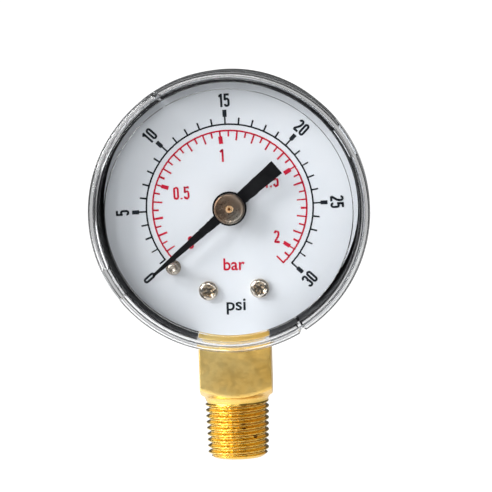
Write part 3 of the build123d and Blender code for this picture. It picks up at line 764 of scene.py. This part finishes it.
printSet = {"turn": 1.4, "rest": 219.8, "zeroAngle": 225.0, "psiStep": 9.0, "psiPerBar": 14.5038,
            "outerArc": 12.5, "innerArc": 11.55, "line": 0.25, "arcStart": 0.4, "arcEnd": 0.45,
            "psiShort": 13.55, "psiLong": (13.62, 14.68), "psiWide": 0.62,
            "barShort": 10.65, "barMiddle": 10.12, "barLong": (10.74, 9.62), "barWide": 0.6,
            "stroke": 0.17, "labelRadius": 16.1, "labelHeight": 2.0, "redHeight": 1.92,
            "redSqueeze": 1.06, "redBold": 0.92, "inkHeight": 0.03, "inkGap": 0.001,
            "redFigures": [("0", (-6.12, -5.0)), ("0.5", (-7.13, 2.52)), ("1", (-0.74, 7.84)),
                           ("1.5", (6.4, 3.67)), ("2", (6.79, -4.77))],
            "words": [("wordBar", "bar", 1.85, 3.2, (0.17, -8.6), "inkRed"),
                      ("wordPsi", "psi", 2.35, 2.9, (0.13, -15.0), "inkBlack")]}


def scaleAngle(psi):
    # the angle falls by a fixed step for each unit, from the scale's own zero
    return printSet["zeroAngle"] + printSet["turn"] - printSet["psiStep"] * psi


def barAngle(bar):
    # the same scale, with the inner unit turned into the outer one
    return scaleAngle(bar * printSet["psiPerBar"])


def onDial(points, height):
    # right and up on the dial become x and z about the pointer's axis; y is the dial's face less the height
    p = np.asarray(points, float)
    y = np.full(len(p), faceY - (printSet["inkGap"] + height) * mm)
    return np.stack([p[:, 0] * mm, y, pivotZ + p[:, 1] * mm], 1)


def turned(spot):
    # a place on the dial turned about the pointer's axis by the dial's own turn
    c, s = np.cos(radians(printSet["turn"])), np.sin(radians(printSet["turn"]))
    return np.array([spot[0] * c - spot[1] * s, spot[0] * s + spot[1] * c])


def arcStrip(radius, width, start, stop):
    # two arcs, half the width inside and outside the radius: cos a and sin a times each
    a = np.radians(np.linspace(start, stop, 181))
    d = np.stack([np.cos(a), np.sin(a)], 1)
    return d * (radius - width / 2), d * (radius + width / 2)


def tickStrip(angle, r0, r1, width):
    # a straight mark along a spoke from r0 to r1, with its sides half the width off the spoke
    d = np.array([np.cos(radians(angle)), np.sin(radians(angle))])
    n = np.array([-d[1], d[0]]) * width / 2
    return np.array([d * r0 + n, d * r1 + n]), np.array([d * r0 - n, d * r1 - n])


def penStrip(path, width):
    # a flat pen stroke: its sides are the path moved half the width along the tangent turned by a right angle
    p = np.asarray(path, float)
    t = np.gradient(p, axis=0)
    t /= np.linalg.norm(t, axis=1, keepdims=True)
    n = np.stack([-t[:, 1], t[:, 0]], 1) * width / 2
    return p + n, p - n


def arcPath(cx, cy, rx, ry, start, stop, n=14):
    # part of an ellipse: the centre plus rx cos a and ry sin a
    a = np.radians(np.linspace(start, stop, n))
    return np.stack([cx + rx * np.cos(a), cy + ry * np.sin(a)], 1)


def glyphPaths(ch, a=0.135, s=0.15):
    # centre lines of narrow figures, one unit tall
    h = s / 2
    top, low = 1 - h - a, h + a
    if ch == "0":
        return [np.vstack([arcPath(0, top, a, a, 0, 180), arcPath(0, low, a, a, 180, 360), [[a, top]]])]
    if ch == "1":
        return [np.array([[0.05, 0.0], [0.05, 1.0]]), np.array([[0.08, 0.955], [-0.13, 0.78]])]
    if ch == "2":
        neck = arcPath(-0.42 * a, top - 0.02, 1.42 * a, 0.42, 0, -42, 8)
        return [np.vstack([arcPath(0, top, a, a, 185, 0), neck, [[-a, h + 0.06], [-a, h + 0.02]]]),
                np.array([[-a - h * 0.6, h], [a + h, h]])]
    if ch == "3":
        return [np.vstack([arcPath(0, top, a, a, 190, 0), arcPath(0, 0.66, a, 0.13, 0, -90, 8)]),
                np.vstack([arcPath(0, 0.40, a, 0.13, 90, 0, 8), arcPath(0, low, a, a, 0, -190)])]
    if ch == "5":
        return [np.array([[a + h * 0.7, 1 - h], [-a, 1 - h]]), np.array([[-a + 0.01, 1.0], [-a, 0.5]]),
                np.vstack([[[-a, 0.52]], arcPath(0.0, 0.47, a, 0.14, 150, 0, 10),
                           arcPath(0, low, a, a, 0, -185)])]
    if ch == ".":
        return [np.array([[0.0, 0.0], [0.0, s]])]
    return []


glyphStep = {"0": 0.50, "1": 0.42, "2": 0.50, "3": 0.50, "5": 0.50, ".": 0.27}


def figures(text, centre, height, turn, squeeze=1.0, bold=1.0):
    # a row of figures about its centre, turned by an angle in degrees
    total = sum(glyphStep[c] for c in text)
    x, out = -total / 2, []
    c, s = np.cos(radians(turn)), np.sin(radians(turn))
    spin = np.array([[c, s], [-s, c]])
    for ch in text:
        for path in glyphPaths(ch):
            local = (path + [x + glyphStep[ch] / 2, -0.5]) * [height * squeeze, height]
            out.append(penStrip(local @ spin + centre, printSet["stroke"] * height * bold))
        x += glyphStep[ch]
    return out


def wordMesh(text, height, width, centre, name, material):
    # generic unit word from the built-in lettering, squeezed to a width and laid on the dial
    curve = bpy.data.curves.new(name, "FONT")
    curve.body, curve.size, curve.extrude, curve.offset = text, 1.0, 0.01, 0.016
    temp = bpy.data.objects.new(name, curve)
    scene.collection.objects.link(temp)
    bpy.context.view_layer.update()
    mesh = bpy.data.meshes.new_from_object(temp.evaluated_get(bpy.context.evaluated_depsgraph_get()))
    bpy.data.objects.remove(temp)
    v = np.empty(len(mesh.vertices) * 3)
    mesh.vertices.foreach_get("co", v)
    v = v.reshape(-1, 3)
    low, high = v.min(0), v.max(0)
    fit = [width / (high[0] - low[0]), height / (high[1] - low[1])]
    flat = (v[:, :2] - (low[:2] + high[:2]) / 2) * fit + centre
    lift = np.where(v[:, 2] > 0, printSet["inkHeight"], 0.0)
    p = onDial(flat, 0.0)
    p[:, 1] -= lift * mm
    faces = [tuple(f.vertices) for f in mesh.polygons]
    bpy.data.meshes.remove(mesh)
    return addPiece(name, p, faces, material, "case", 30)


def buildPrint(s):
    # black marks count the outer scale and red marks the inner one, each on its own arc
    black, red = [], []
    w, outer, inner = s["line"], s["outerArc"], s["innerArc"]
    black.append(arcStrip(outer, w, scaleAngle(1) + s["arcStart"], scaleAngle(30) - s["arcEnd"]))
    for psi in range(1, 31):
        angle = scaleAngle(psi)
        if psi % 5:
            black.append(tickStrip(angle, outer, s["psiShort"], w))
        else:
            black.append(tickStrip(angle, outer, s["psiLong"][0], w))
            black.append(tickStrip(angle, *s["psiLong"], s["psiWide"]))
    red.append(arcStrip(inner, w, barAngle(0.05) + s["arcStart"], barAngle(2.1) - s["arcEnd"]))
    for k in range(1, 43):
        angle = barAngle(k * 0.05)
        if k % 10 == 0:
            red.append(tickStrip(angle, s["barLong"][0], inner, w))
            red.append(tickStrip(angle, s["barLong"][1], s["barLong"][0], s["barWide"]))
        else:
            red.append(tickStrip(angle, s["barShort"] if k % 2 else s["barMiddle"], inner, w))
    for psi in range(0, 31, 5):
        angle = scaleAngle(psi) if psi else s["rest"]
        spot = np.array([np.cos(radians(angle)), np.sin(radians(angle))]) * s["labelRadius"]
        turn = angle - 90 if psi != 30 else angle + 90  # the last figure stands with its feet outwards
        black += figures(str(psi), spot, s["labelHeight"], turn)
    for text, spot in s["redFigures"]:
        red += figures(text, turned(spot), s["redHeight"], s["turn"], s["redSqueeze"], s["redBold"])
    for name, strips, ink in (("scaleBlack", black, "inkBlack"), ("scaleRed", red, "inkRed")):
        verts, faces = slabs(strips, onDial, s["inkHeight"])
        addPiece(name, verts, faces, finishes[ink], "case", 30)
    for name, text, height, width, spot, ink in s["words"]:
        wordMesh(text, height, width, turned(spot), name, finishes[ink])


buildPrint(printSet)
print("dial printed")

studioSet = {"floorDrop": 0.06, "floorSize": 6.0, "floorShown": 1.1, "floorSeen": 0.3,
             "floorFade": (-0.40, -0.18), "floorDark": (0.02, 0.02, 0.02), "floorPale": (0.8, 0.8, 0.8),
             "aim": (0, -0.008, 0.03),
             "lamps": [("keySoftbox", (-0.52, -0.22, 0.36), (0.42, 0.42), 7.4),
                       ("leftStrip", (-0.33, -0.54, 0.16), (0.07, 0.26), 0.55),
                       ("frontSoftbox", (-0.05, -0.58, 0.31), (0.25, 0.25), 0.85),
                       ("sideSoftbox", (0.55, -0.35, 0.05), (0.4, 0.4), 0.15)],
             "airShown": 1.1, "airThrough": 0.56, "airLow": 0.04, "airHigh": 0.18, "airFront": 0.01,
             "airHole": (-0.97, -0.80), "airTint": (0.95, 0.98, 1.0, 1), "behind": 0.1}


def shownWhite(tree, lit, shown, strength, depth, s):
    # plain white where it is looked at, straight or through clear plastic from in front; lit elsewhere
    path = node(tree, "ShaderNodeLightPath")
    behind = node(tree, "ShaderNodeMath", operation="GREATER_THAN")
    through = node(tree, "ShaderNodeMath", operation="MULTIPLY")
    either = node(tree, "ShaderNodeMath", operation="MAXIMUM")
    mixer = node(tree, "ShaderNodeMixShader")
    behind.inputs[1].default_value = s["behind"]
    tree.links.new(depth, behind.inputs[0])
    tree.links.new(behind.outputs[0], through.inputs[0])
    tree.links.new(path.outputs["Is Transmission Ray"], through.inputs[1])
    tree.links.new(path.outputs["Is Camera Ray"], either.inputs[0])
    tree.links.new(through.outputs[0], either.inputs[1])
    level = node(tree, "ShaderNodeMapRange")
    level.inputs["To Min"].default_value, level.inputs["To Max"].default_value = s["airThrough"], strength
    tree.links.new(path.outputs["Is Camera Ray"], level.inputs["Value"])
    tree.links.new(level.outputs["Result"], shown.inputs["Strength"])
    tree.links.new(either.outputs[0], mixer.inputs[0])
    tree.links.new(lit, mixer.inputs[1])
    tree.links.new(shown.outputs[0], mixer.inputs[2])
    return mixer.outputs[0]


def buildFloor(s):
    low, half = cadBox[0][2] - s["floorDrop"], s["floorSize"] / 2
    mesh = bpy.data.meshes.new("studioFloor")
    corners = [(-half, -half, low), (half, -half, low), (half, half, low), (-half, half, low)]
    mesh.from_pydata(corners, [], [(0, 1, 2, 3)])
    f = Finish("floorWhite")
    split = node(f.tree, "ShaderNodeSeparateXYZ")
    near = node(f.tree, "ShaderNodeMapRange", interpolation_type="SMOOTHSTEP")
    near.inputs["From Min"].default_value, near.inputs["From Max"].default_value = s["floorFade"]
    f.link(f.coords.outputs["Object"], split.inputs[0])
    f.link(split.outputs["Y"], near.inputs["Value"])
    f.put(Base_Color=f.mix(near.outputs["Result"], s["floorDark"], s["floorPale"]), Roughness=0.9,
          Emission_Color=(1.0, 1.0, 1.0), Emission_Strength=f.scaled(near.outputs["Result"], s["floorSeen"]))
    shown = node(f.tree, "ShaderNodeEmission")
    out = shownWhite(f.tree, f.shader.outputs[0], shown, s["floorShown"], split.outputs["Y"], s)
    f.link(out, f.tree.nodes["Material Output"].inputs["Surface"])
    mesh.materials.append(f.material)
    floor = bpy.data.objects.new("studioFloor", mesh)
    scene.collection.objects.link(floor)


def buildLamps(s):
    aim = Vector(s["aim"])
    for name, place, size, power in s["lamps"]:
        data = bpy.data.lights.new(name, "AREA")
        data.shape, data.size, data.size_y, data.energy = "RECTANGLE", size[0], size[1], power
        lamp = bpy.data.objects.new(name, data)
        lamp.location = place
        lamp.rotation_euler = (aim - Vector(place)).to_track_quat("-Z", "Y").to_euler()
        scene.collection.objects.link(lamp)


def buildAir(s):
    # soft surroundings, paler upwards, with a dark middle straight in front
    world = bpy.data.worlds.new("studioAir")
    scene.world = world
    world.use_nodes = True
    tree = world.node_tree
    tree.nodes.clear()
    coords = node(tree, "ShaderNodeTexCoord")
    split = node(tree, "ShaderNodeSeparateXYZ")
    rise = node(tree, "ShaderNodeMapRange")
    rise.inputs["From Min"].default_value, rise.inputs["From Max"].default_value = -1.0, 1.0
    rise.inputs["To Min"].default_value, rise.inputs["To Max"].default_value = s["airLow"], s["airHigh"]
    hole = node(tree, "ShaderNodeMapRange", interpolation_type="SMOOTHSTEP")
    hole.inputs["From Min"].default_value, hole.inputs["From Max"].default_value = s["airHole"]
    hole.inputs["To Min"].default_value, hole.inputs["To Max"].default_value = s["airFront"], 1.0
    power = node(tree, "ShaderNodeMath", operation="MULTIPLY")
    soft = node(tree, "ShaderNodeBackground")
    soft.inputs["Color"].default_value = s["airTint"]
    shown = node(tree, "ShaderNodeBackground")
    shown.inputs["Color"].default_value = (1, 1, 1, 1)
    out = node(tree, "ShaderNodeOutputWorld")
    tree.links.new(coords.outputs["Generated"], split.inputs[0])
    tree.links.new(split.outputs["Z"], rise.inputs["Value"])
    tree.links.new(split.outputs["Y"], hole.inputs["Value"])
    tree.links.new(rise.outputs["Result"], power.inputs[0])
    tree.links.new(hole.outputs["Result"], power.inputs[1])
    tree.links.new(power.outputs[0], soft.inputs["Strength"])
    white = shownWhite(tree, soft.outputs[0], shown, s["airShown"], split.outputs["Y"], s)
    tree.links.new(white, out.inputs["Surface"])


buildFloor(studioSet)
buildLamps(studioSet)
buildAir(studioSet)
scene.view_settings.view_transform = "Standard"
print("studio ready")
